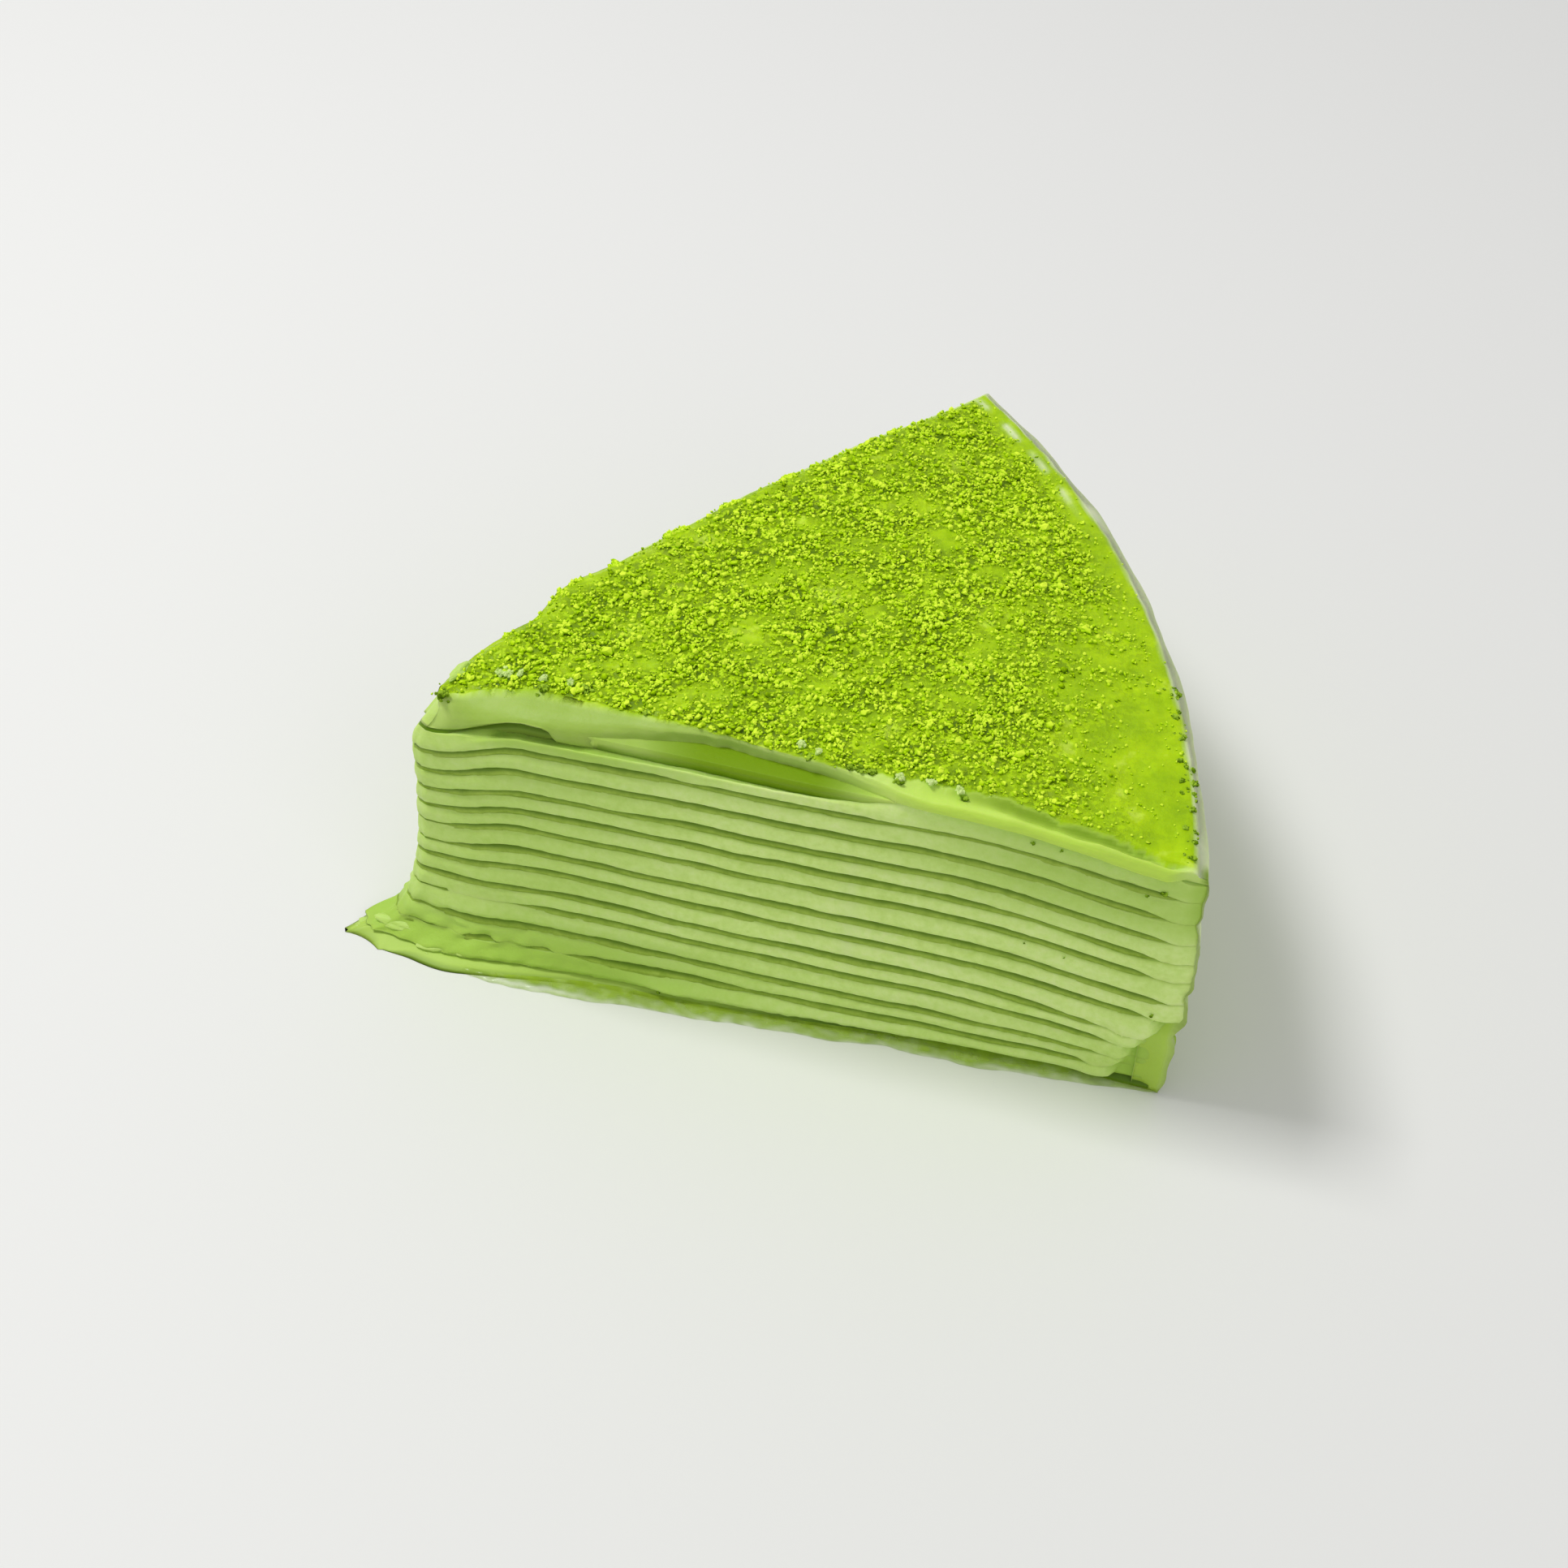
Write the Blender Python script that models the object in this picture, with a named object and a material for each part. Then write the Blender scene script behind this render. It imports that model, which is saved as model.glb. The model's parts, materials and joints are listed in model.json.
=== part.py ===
"""A slice of green tea crepe cake: thirteen crepes with cream between them, under a
frosting that covers the top and the round rim and is dusted with powder.

Every slab is planned on two numbers: `along` from the tip to the rim, and `across` from
the front cut (-1) to the back cut (+1). One function, settle(), then lets it lean and
slump the way a soft cake does once it is cut, so neighbours always fit each other.
Metres, +Z up, +X from the tip to the rim, the front cut towards -Y.
"""

import math

import bmesh
import bpy
from mathutils import Vector, noise

MM = 0.001

# Driving sizes
SLICE_LENGTH = 88.0 * MM  # tip to the middle of the rim
RIM_CORNER = 3.0 * MM  # the rim's corners reach further than its middle
HALF_ANGLE = math.radians(28.4)  # the cake was cut in six
NOSE_HALF_WIDTH = 1.8 * MM  # the knife leaves the tip blunt
NOSE_ROUNDING = 0.9 * MM
NOSE_LENGTH = 8.0 * MM  # the bluntness ends here
CREPE_THICKNESS = 0.9 * MM
COAT_THICKNESS = 3.3 * MM  # cream on the round rim
COAT_FOOT = 0.7 * MM  # the coat ends just above the plate
GAP = 0.3 * MM  # kept free between neighbours
ORIGIN_FROM_TIP = 37.06 * MM  # half the slumped slice's length
ORIGIN_TO_FRONT = 0.2 * MM  # half its width, towards the front cut

# From the middle of one crepe to the next in mm, upwards, where the cake stands highest
CREPE_STEPS = (2.8, 2.5, 3.4, 2.8, 3.6, 3.2, 3.9, 3.1, 3.2, 3.5, 3.5, 3.5)
CAKE_HEIGHT = 42.3 * MM

# How the layers sag at the tip and at the rim
TIP_SAG = 0.12  # share of its height that the tip has sunk
SHOULDER_SAG = 0.02  # the same, a little behind the tip
BELLY_RISE = 0.045  # share of its height by which the part before the rim stands up
RIM_SAG = 2.3 * MM
TIP_END = 12 * MM
SHOULDER_END = 36 * MM
BELLY_END = 64 * MM
WAVE = 0.25 * MM  # how far a crepe wanders from its height
WAVE_LENGTH = 15 * MM

# How the cuts and the tip spread, as (reach, height over which it fades) in mm
TIP_SPREAD = ((5.2, 14), (2.2, 5), (6.4, 1.5))
TIP_LEAN = 2.2 * MM
TIP_LEAN_FADE = 11 * MM
FRONT_SPREAD = ((2.2, 12), (3.0, 1.5))
BACK_SPREAD = ((1.6, 6),)
CUT_BULGE = 0.3 * MM
KNIFE_STEP = 2.3 * MM  # the knife was set down twice on the back cut

# How far the edges of the layers stand out of the cut faces or back
CREAM_BULGE = 0.4 * MM
CREPE_RECESS = 0.3 * MM
LIP = 0.9 * MM  # the frosting hangs over the front cut beyond its middle
COAT_BELLY = 1.5 * MM
COAT_RIPPLE = 0.5 * MM

# How far the top falls at its edges
FRONT_DROP = 1.5 * MM
BACK_DROP = 0.7 * MM
RIM_DROP = 0.8 * MM
TOP_INSET = 0.5 * MM
NOSE_SLANT = 1.8 * MM  # the frosting's nose faces forward

# Powder on the frosting
POWDER_RELIEF = 0.45 * MM
POWDER_LUMP = 3.2 * MM  # width of one lump

# Mesh fineness
LAYER_PLACES = (0, 4, 9, 16, 26, 38, 50, 62, 74)  # mm from the tip, then the rim
LAYER_ACROSS = 6
FROSTING_ALONG = 24
FROSTING_ACROSS = 20
COAT_ROWS = 8
SHARP_ANGLE = math.radians(35)
TINY = 0.1 * MM


def smooth(value, low, high):
    """0 below low, 1 above high, and a smooth step between."""
    share = min(1.0, max(0.0, (value - low) / (high - low)))
    return share * share * (3 - 2 * share)


def spread(pairs, z):
    """How far a foot has spread at a height."""
    return sum(reach * MM * math.exp(-z / (fade * MM)) for reach, fade in pairs)


def sagged(level, along):
    """The height that something planned at this level has at a place along."""
    tip = TIP_SAG * smooth(level, 4 * MM, 24 * MM) * (1 - smooth(along, 0, TIP_END))
    shoulder = SHOULDER_SAG * smooth(level, 15 * MM, 25 * MM) * smooth(along, 0, TIP_END)
    shoulder *= 1 - smooth(along, TIP_END, SHOULDER_END)
    belly = BELLY_RISE * (level - 8 * MM) * smooth(level, 2 * MM, 6 * MM)
    belly *= 1 - 0.8 * smooth(level, 35 * MM, CAKE_HEIGHT)
    rim = RIM_SAG * smooth(level, 2 * MM, 12 * MM)
    height = level * (1 - tip - shoulder)
    height += belly * smooth(along, SHOULDER_END, BELLY_END)
    return height - rim * smooth(along, BELLY_END, SLICE_LENGTH)


def wave(along, across, z):
    """The crepes were laid by hand, so they wander a little, and neighbours together."""
    place = Vector((along / WAVE_LENGTH, across * 1.6, z / (25 * MM)))
    return WAVE * noise.noise(place) * smooth(z, 1 * MM, 8 * MM)


def tip_lean(along, z):
    """The tip leans away from the cake, and its lowest crepe reaches furthest."""
    lean = (TIP_LEAN + spread(TIP_SPREAD, z)) * (1 - smooth(z, 32 * MM, 39 * MM))
    return lean * math.exp(-max(0.0, along) / TIP_LEAN_FADE)


def front_slump(along, z):
    """The front cut leans out a little, and its foot spreads over the plate."""
    fade = (1 - smooth(along, 28 * MM, 86 * MM)) * smooth(along, -4 * MM, 9 * MM)
    return CUT_BULGE + spread(FRONT_SPREAD, z) * fade


def back_slump(along, z):
    """The back cut steps out where the knife was set down again, and its foot spreads."""
    step = KNIFE_STEP * smooth(along, 15 * MM, 22 * MM) * smooth(z, 4 * MM, 30 * MM)
    step *= 1 - smooth(along, 23 * MM, 30 * MM) / 3
    step *= 1 - smooth(along, 46 * MM, 70 * MM)
    foot = spread(BACK_SPREAD, z) * (1 - smooth(along, 50 * MM, 85 * MM))
    return CUT_BULGE + step + foot


def settle(along, across, z, outward=0.0):
    """The place of a plan point once the cake has slumped. outward moves a point of a
    cut face out of its face."""
    angle = across * HALF_ANGLE
    outermost = across * across
    reach = along + RIM_CORNER * outermost * smooth(along, 30 * MM, SLICE_LENGTH)
    point = Vector((reach * math.cos(angle), reach * math.sin(angle), z))
    near_tip = 1 - smooth(along, 0, NOSE_LENGTH)
    pointed = 0.8 * near_tip * math.exp(-z / (2 * MM))
    point.y += across * NOSE_HALF_WIDTH * (1 - pointed)
    point.x += NOSE_ROUNDING * outermost * near_tip
    side = -1 if across < 0 else 1
    slump = back_slump(along, z) if side > 0 else front_slump(along, z)
    face_normal = Vector((-math.sin(HALF_ANGLE), side * math.cos(HALF_ANGLE), 0.0))
    point += face_normal * (slump * outermost)
    if abs(across) > 0.999:
        point += face_normal * outward
    point.x -= tip_lean(along, z) + ORIGIN_FROM_TIP
    point.y += ORIGIN_TO_FRONT
    return point


def plan_block(bm, stations, across_steps, rows):
    """A flat block over the plan. A vertex holds along, across and its share of the
    block's height, until settle() places it."""
    last = len(stations) - 1
    bmesh.ops.create_grid(bm, x_segments=last, y_segments=across_steps, size=1)
    for vertex in bm.verts:
        vertex.co.x = stations[round((vertex.co.x + 1) / 2 * last)]
        vertex.co.z = 1.0
    grown = bmesh.ops.extrude_face_region(bm, geom=bm.faces[:], use_keep_orig=True)
    for vertex in [v for v in grown["geom"] if isinstance(v, bmesh.types.BMVert)]:
        vertex.co.z = 0.0
    upright = [e for e in bm.edges if abs(e.verts[0].co.z - e.verts[1].co.z) > 0.5]
    if rows > 1:
        bmesh.ops.subdivide_edges(bm, edges=upright, cuts=rows - 1, use_grid_fill=True)
    bmesh.ops.recalc_face_normals(bm, faces=bm.faces[:])


def principled(name, colour, roughness):
    material = bpy.data.materials.new(name)
    material.use_nodes = True
    shader = material.node_tree.nodes["Principled BSDF"]
    shader.inputs["Base Color"].default_value = (*colour, 1.0)
    shader.inputs["Roughness"].default_value = roughness
    shader.inputs["Metallic"].default_value = 0.0
    material.diffuse_color = (*colour, 1.0)
    return material


def finish_object(bm, name, material):
    mesh = bpy.data.meshes.new(name)
    bm.to_mesh(mesh)
    bm.free()
    mesh.materials.append(material)
    mesh.shade_smooth()
    mesh.set_sharp_from_angle(angle=SHARP_ANGLE)
    obj = bpy.data.objects.new(name, mesh)
    bpy.context.scene.collection.objects.link(obj)


def layer(name, low, high, bulge, rows, material):
    """One crepe or one cream, right through the slice to the coat on the rim, between
    the levels low and high."""
    stations = [mm * MM for mm in LAYER_PLACES]
    stations.append(SLICE_LENGTH - COAT_THICKNESS - GAP)
    bm = bmesh.new()
    plan_block(bm, stations, LAYER_ACROSS, rows)
    for vertex in bm.verts:
        along, across, share = vertex.co
        z = sagged(low + (high - low) * share, along)
        z += wave(along, across, z)
        belly = 1 - (2 * share - 1) ** 2 if rows > 1 else 1.0
        place = Vector((along / WAVE_LENGTH, across, z / (2.5 * MM)))
        outward = bulge * belly * (0.8 + 0.5 * noise.noise(place))
        if along < TINY:
            along -= outward
        vertex.co = settle(along, across, z, outward)
    finish_object(bm, name, material)


def powder_height(point):
    """Height of the powder's lumps over a point of the top."""
    over_plate = Vector((point.x, point.y, 0.0))
    lumps = noise.noise(over_plate / POWDER_LUMP)
    drifts = noise.noise(over_plate / (4 * POWDER_LUMP) + Vector((7.0, 3.0, 0.0)))
    return POWDER_RELIEF * max(0.0, 0.35 + 0.9 * lumps + 0.4 * drifts)


def edge_drop(along, across):
    """How far the top falls towards its edges: over 3 mm at the tip, less at the rim."""
    half_width = NOSE_HALF_WIDTH + along * math.sin(HALF_ANGLE)
    shoulder = (3.0 - 1.8 * smooth(along, 5 * MM, 50 * MM)) * MM
    front = FRONT_DROP * (1 - smooth((1 + across) * half_width, 0, shoulder))
    back = BACK_DROP * (1 - smooth((1 - across) * half_width, 0, 1.5 * MM))
    rim = RIM_DROP * smooth(along, SLICE_LENGTH - 1.5 * MM, SLICE_LENGTH)
    return max(front, back, rim)


def coat_outward(across, z):
    """The coat is fullest at mid height, with ripples that the crepe ends push out."""
    share = min(1.0, max(0.0, z / CAKE_HEIGHT))
    ripple = noise.noise(Vector((across * 4, z / (5 * MM), 2.0)))
    return COAT_BELLY * math.sin(math.pi * share) ** 0.8 + COAT_RIPPLE * ripple


def frosting_point(along, across, share, low):
    """The place of a point of the frosting. share is 1 on its top, 0 on its underside
    and below 0 down the coat, to -1 at the coat's foot."""
    under = sagged(low, along)
    under += wave(along, across, under)
    top = sagged(CAKE_HEIGHT, along) - edge_drop(along, across)
    rise = top - under if share > 0 else under - COAT_FOOT
    z = under + rise * share
    on_top = share > 0.9
    on_rim = along > SLICE_LENGTH - TINY
    hang = LIP * smooth(along, 42 * MM, 52 * MM) if across < 0 else 0.0
    outward = -TOP_INSET if on_top else CREAM_BULGE + hang * (0.4 + share)
    if share < 0 and not on_rim:
        outward = 0.0
    if on_rim:
        along += coat_outward(across, z) - (2 * TOP_INSET if on_top else 0.0)
    elif along < TINY:
        along += TOP_INSET if on_top else -CREAM_BULGE
    turn = (1 + across) * max(0.0, share) * max(0.0, 1 - along / (6 * MM))
    point = settle(along + NOSE_SLANT * turn, across, z, outward)
    if on_top:
        point.z += powder_height(point)
    return point


def frosting(low, material):
    """The cream over the top and down the rim, one piece, with powder on its top."""
    inner_length = SLICE_LENGTH - COAT_THICKNESS
    last = FROSTING_ALONG - 1
    stations = [inner_length * step / last for step in range(FROSTING_ALONG)]
    stations.append(SLICE_LENGTH)
    bm = bmesh.new()
    plan_block(bm, stations, FROSTING_ACROSS, 2)

    # The coat grows down from the strip of the underside beyond the crepes
    strip = [
        face
        for face in bm.faces
        if all(v.co.z < 0.1 and v.co.x > inner_length - TINY for v in face.verts)
    ]
    for row in range(COAT_ROWS):
        grown = bmesh.ops.extrude_face_region(bm, geom=strip)
        bmesh.ops.delete(bm, geom=strip, context="FACES_ONLY")
        strip = [f for f in grown["geom"] if isinstance(f, bmesh.types.BMFace)]
        for vertex in {v for face in strip for v in face.verts}:
            vertex.co.z = -(row + 1) / COAT_ROWS

    upper = [f for f in bm.faces if all(v.co.z > 0.9 for v in f.verts)]
    top_edges = list({edge for face in upper for edge in face.edges})
    bmesh.ops.subdivide_edges(bm, edges=top_edges, cuts=1, use_grid_fill=True)
    bmesh.ops.recalc_face_normals(bm, faces=bm.faces[:])
    for vertex in bm.verts:
        vertex.co = frosting_point(*vertex.co, low)
    finish_object(bm, "frosting", material)


def main():
    for obj in list(bpy.data.objects):
        bpy.data.objects.remove(obj)
    crepe = principled("crepe", (0.178, 0.287, 0.025), 0.5)
    cream = principled("cream", (0.328, 0.474, 0.117), 0.45)
    dusted = principled("dusted_frosting", (0.319, 0.521, 0.012), 0.6)

    half = CREPE_THICKNESS / 2
    level = half
    layer("crepe_01", 0.0, level + half, -CREPE_RECESS, 1, crepe)
    for number, step in enumerate(CREPE_STEPS, 1):
        above = level + step * MM
        low = level + half + GAP
        high = above - half - GAP
        layer(f"cream_{number:02d}", low, high, CREAM_BULGE, 2, cream)
        layer(
            f"crepe_{number + 1:02d}", above - half, above + half, -CREPE_RECESS, 1, crepe
        )
        level = above
    frosting(level + half + GAP, dusted)


main()
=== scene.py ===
"""Looks of a slice of green tea crepe cake: cream and crepes at the cuts, a frosting
with a wet skin of powder, powder clumps, and the smear that the slice stands in.

Every slab is planned on two numbers: `along` from the tip to the rim, and `across` from
the front cut (-1) to the back cut (+1). settle() lets it slump as the real slice does.
Metres, +Z up, +X from the tip to the rim, the front cut towards -Y.
"""

import json
import math
import random

import bmesh
import bpy
import numpy as np
from mathutils import Matrix, Vector, noise

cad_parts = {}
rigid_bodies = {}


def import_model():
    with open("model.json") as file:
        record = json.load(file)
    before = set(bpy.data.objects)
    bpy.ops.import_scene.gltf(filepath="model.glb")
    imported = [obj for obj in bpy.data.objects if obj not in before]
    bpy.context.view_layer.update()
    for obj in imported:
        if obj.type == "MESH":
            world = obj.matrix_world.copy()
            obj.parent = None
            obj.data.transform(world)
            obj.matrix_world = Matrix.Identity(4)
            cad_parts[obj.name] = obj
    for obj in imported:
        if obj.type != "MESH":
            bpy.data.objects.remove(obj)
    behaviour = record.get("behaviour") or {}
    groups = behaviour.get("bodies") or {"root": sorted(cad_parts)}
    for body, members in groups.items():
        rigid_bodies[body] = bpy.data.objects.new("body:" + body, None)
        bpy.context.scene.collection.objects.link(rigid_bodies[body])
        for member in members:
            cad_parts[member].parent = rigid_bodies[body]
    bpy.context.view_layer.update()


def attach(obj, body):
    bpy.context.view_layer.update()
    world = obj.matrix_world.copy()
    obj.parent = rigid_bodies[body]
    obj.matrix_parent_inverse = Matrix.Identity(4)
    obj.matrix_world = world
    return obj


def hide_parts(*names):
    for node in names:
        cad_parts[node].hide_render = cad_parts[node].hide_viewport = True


MM = 0.001

# Plan of the slice, as in the solids
SLICE_LENGTH = 88.0 * MM
RIM_CORNER = 3.0 * MM
HALF_ANGLE = math.radians(28.4)
NOSE_HALF_WIDTH = 1.8 * MM
NOSE_ROUNDING = 0.9 * MM
NOSE_LENGTH = 8.0 * MM
CREPE_THICKNESS = 0.9 * MM
COAT_THICKNESS = 3.3 * MM
GAP = 0.3 * MM
ORIGIN_FROM_TIP = 37.06 * MM
ORIGIN_TO_FRONT = 0.2 * MM
CREPE_STEPS = (2.8, 2.5, 3.4, 2.8, 3.6, 3.2, 3.9, 3.1, 3.2, 3.5, 3.5, 3.5)
CAKE_HEIGHT = 42.3 * MM
TOP_CREAM = 12
TOP_CREPE = 13
CREPE_INSIDE_COAT = 1.4 * MM
CREAM_INSIDE_COAT = 0.2 * MM

# Sag of the layers
TIP_SAG = 0.12
SHOULDER_SAG = 0.02
BELLY_RISE = 0.045
RIM_SAG = 2.3 * MM
TIP_END = 12 * MM
SHOULDER_END = 36 * MM
BELLY_END = 64 * MM
WAVE = 0.25 * MM
WAVE_LENGTH = 15 * MM

# Slump of the cuts and the tip, as (reach, height over which it fades) in mm
TIP_SPREAD = ((5.2, 14), (2.2, 5), (6.4, 1.5))
TIP_LEAN = 2.2 * MM
TIP_LEAN_FADE = 11 * MM
FRONT_SPREAD = ((2.2, 12), (3.0, 1.5))
BACK_SPREAD = ((1.6, 6),)
CUT_BULGE = 0.3 * MM
KNIFE_STEP = 2.3 * MM

# Edges of the layers at the cuts
CREAM_BULGE = 0.4 * MM
CREPE_RECESS = 0.02 * MM
COAT_BELLY = 1.5 * MM
COAT_RIPPLE = 0.5 * MM
BACK_DROP = 0.7 * MM
RIM_DROP = 0.8 * MM
TOP_INSET = 0.5 * MM
NOSE_SLANT = 1.0 * MM
TIP_SWELL = 2.6 * MM  # the frosting is this much thicker at the tip
POWDER_RELIEF = 0.45 * MM
POWDER_LUMP = 3.2 * MM
HIGHEST = 42.95 * MM  # the powder stays under this height
CRUMB_ROOM = 0.35 * MM  # the top stands this much lower, to leave room for crumbs
TINY = 0.1 * MM
AT_FACE = 0.999  # a point with a larger across lies on a cut

# Meshes: steps of the frosting along, over its rim coat, across, up and down the coat
TOP_STEPS = 200
RIM_STEPS = 8
ACROSS_STEPS = 170
TOP_ROWS = 12
COAT_ROWS = 50
TIP_PART = 12 * MM  # the layers have finer steps up to here
TIP_STEPS = 40
CUT_STEPS = 150
SMEAR_START = -7
SMEAR_LENGTH = 98
SMEAR_STEPS = 220
SMEAR_WIDTH = 4.2

# Where the powder ends short of the front edge: (along, distance) in mm
POWDER_EDGE = (
    (0, 1.4), (4, 2.6), (8, 3.7), (12, 4.3), (16, 4.3), (20, 4.0), (28, 3.6), (36, 2.9),
    (42, 2.4), (48, 2.0), (55, 1.9), (63, 2.6), (72, 2.1), (79, 1.4), (84, 0.7),
    (88, 0.4),
)

# The frosting at the front cut from its underside up, as (share of its height, part of
# the distance to the powder): a round shoulder at the tip, then a cove
SHOULDER = (
    (0, 0.15), (0.08, 0.06), (0.25, 0), (0.5, 0.07), (0.75, 0.3), (0.9, 0.62), (1, 1)
)
COVE = ((0, 0.06), (0.08, 0.5), (0.17, 0.8), (0.25, 0.93), (0.4, 1), (0.75, 0.95), (1, 1))
# A folded lip at the rim, as (share, outward in mm, fall in mm)
FOLD = (
    (0, -0.5, 0), (0.1, -0.3, 0.1), (0.2, 0.45, 0.35), (0.35, 0.8, 0.3),
    (0.6, 0.7, 0.15), (0.85, 0.45, 0), (1, 0.1, 0),
)
SLOT_END = 15.3 * MM  # the open slot under the frosting runs from the tip to here
DRAG_STRIPE = 50.8 * MM  # a pale stripe that the knife dragged up the cut

# How far from the tip the crepes 2 to 12 and the creams 1 to 12 reach at the front, in mm
LINE_ENDS = (79.6, 81.0, 81.7, 80.4, 85.6, 87.2, 85.2, 85.6, 86.4, 85.8, 86.6)
CREAM_ENDS = (81.2, 81.9, 82.6, 83.8, 85.2, 87.2, 87.7, 87.5, 87.6, 87.8, 87.7, 87.8)

# Curls and dents on the front cut: (along, height, width, depth of the mark up and
# down, outward), all in mm
CUT_MARKS = (
    (82.6, 11.0, 1.8, 1.4, 0.7), (80.6, 12.5, 1.2, 0.9, -0.35),
    (80.0, 2.6, 1.4, 1.4, 0.6), (22.0, 3.2, 7.0, 0.9, 0.5), (30.0, 1.6, 3.0, 0.8, 0.7),
)

# Lobes of the coat at the front corner: (height, outward) in mm
COAT_LOBES = ((31, -0.6), (27, 0.4), (20.5, 0.3), (18.6, -0.7), (14.5, 0.4), (11, -0.6))

# How far the wet film reaches out from the foot of the cut: (along, outward) in mm
FILM_REACH = (
    (-7, 5.6), (-1.6, 7.2), (2, 7.7), (7, 8.3), (16, 7.9), (23, 6.8), (31, 6.2),
    (38, 5.6), (48, 4.5), (57, 3.4), (67, 3.0), (79, 1.9), (86, 1.0), (91, 0.2),
)

# Damp clumps of powder at the front edge: (along, past the powder's edge, size) in mm
EDGE_CLUMPS = (
    (1.3, -0.2, 1.8), (13.4, 0.3, 1.4), (18.6, 1.6, 1.9), (26.0, 0.4, 1.0),
    (45.3, 0.2, 1.0), (49.8, 0.2, 1.0), (51.0, 0.1, 1.2), (52.3, 0.0, 1.0),
    (55.2, -0.2, 1.7), (62.3, -1.0, 0.9),
)
# Specks on the front cut: (along, height, size) in mm
CUT_SPECKS = (
    (29.0, 1.2, 1.0), (69.9, 39.2, 0.9), (72.9, 39.0, 0.8), (70.3, 22.3, 0.5),
    (74.8, 21.3, 0.5), (84.3, 35.8, 1.3), (82.5, 34.8, 0.7), (85.4, 14.6, 0.8),
    (81.0, 18.0, 0.5),
)
# Specks on the bare shoulder at the tip: (along, short of the powder's edge, size) in mm
SHOULDER_SPECKS = ((9.0, 1.1, 0.6), (11.4, 1.4, 0.6), (12.8, 0.6, 1.0))
# Pale flecks of cream on the powder's front edge: (along, past that edge, size) in mm
CREAM_FLECKS = (
    (8.6, 2.2, 0.9), (9.3, 1.8, 0.8), (10.8, 1.9, 0.6), (13.4, 1.7, 0.8),
    (16.6, 2.0, 0.7), (44.2, 1.4, 0.9), (46.2, 1.0, 0.7), (55.2, 0.0, 1.0),
    (58.6, -0.2, 0.8), (61.6, -0.5, 0.9),
)
# Scraps of cream: (place, radii, turn about Z in degrees)
CREAM_SCRAPS = (
    ((-44.6, -1.7, 1.5), (4.2, 1.1, 0.8), -30),
    ((-41.0, -4.9, 0.7), (3.4, 1.5, 0.8), -30),
    ((-48.6, 0.2, 0.2), (2.4, 1.2, 0.4), -15),
    ((-38.0, -7.6, 1.0), (1.0, 0.4, 0.3), -25),
    ((-33.2, 2.6, 40.0), (2.0, 0.7, 0.6), 48),
)


def clamp(value):
    return min(1.0, max(0.0, value))


def smooth(value, low, high):
    """0 below low, 1 above high, and a smooth step between."""
    share = clamp((value - low) / (high - low))
    return share * share * (3 - 2 * share)


def rising(value, low, high):
    """0 below low mm, 1 above high mm, and a smooth step between."""
    return smooth(value, low * MM, high * MM)


def falling(value, low, high):
    """1 below low mm, 0 above high mm, and a smooth step between."""
    return 1 - rising(value, low, high)


def uneven(x, y, z):
    """Smooth unevenness between about -1 and 1, which changes over a step of 1."""
    return noise.noise(Vector((x, y, z)))


def between(pairs, value):
    """The value read off a line through (place, height) pairs."""
    places = [pair[0] for pair in pairs]
    heights = [pair[1] for pair in pairs]
    return float(np.interp(value, places, heights))


def spread(pairs, z):
    """How far a foot has spread at a height."""
    return sum(reach * MM * math.exp(-z / (fade * MM)) for reach, fade in pairs)


def sagged(level, along):
    """The height that something planned at this level has at a place along."""
    tip = TIP_SAG * rising(level, 4, 24) * (1 - smooth(along, 0, TIP_END))
    shoulder = SHOULDER_SAG * rising(level, 15, 25) * smooth(along, 0, TIP_END)
    shoulder *= 1 - smooth(along, TIP_END, SHOULDER_END)
    belly = BELLY_RISE * (level - 8 * MM) * rising(level, 2, 6)
    belly *= 1 - 0.8 * smooth(level, 35 * MM, CAKE_HEIGHT)
    rim = RIM_SAG * rising(level, 2, 12)
    height = level * (1 - tip - shoulder)
    height += belly * smooth(along, SHOULDER_END, BELLY_END)
    return height - rim * smooth(along, BELLY_END, SLICE_LENGTH)


def wave(along, across, z):
    """The crepes were laid by hand, so they wander a little, and neighbours together."""
    wander = uneven(along / WAVE_LENGTH, across * 1.6, z / (25 * MM))
    return WAVE * wander * rising(z, 1, 8)


def tip_lean(along, z):
    """The tip leans away from the cake, and its lowest crepe reaches furthest."""
    lean = (TIP_LEAN + spread(TIP_SPREAD, z)) * falling(z, 32, 39)
    return lean * math.exp(-max(0.0, along) / TIP_LEAN_FADE)


def front_slump(along, z):
    """The front cut leans out a little, and its foot spreads."""
    fade = falling(along, 28, 86) * rising(along, -4, 9)
    return CUT_BULGE + spread(FRONT_SPREAD, z) * fade


def back_slump(along, z):
    """The back cut steps out where the knife was set down again, and its foot spreads."""
    step = KNIFE_STEP * rising(along, 15, 22) * rising(z, 4, 30)
    step *= 1 - rising(along, 23, 30) / 3
    step *= falling(along, 46, 70)
    foot = spread(BACK_SPREAD, z) * falling(along, 50, 85)
    return CUT_BULGE + step + foot


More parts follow.
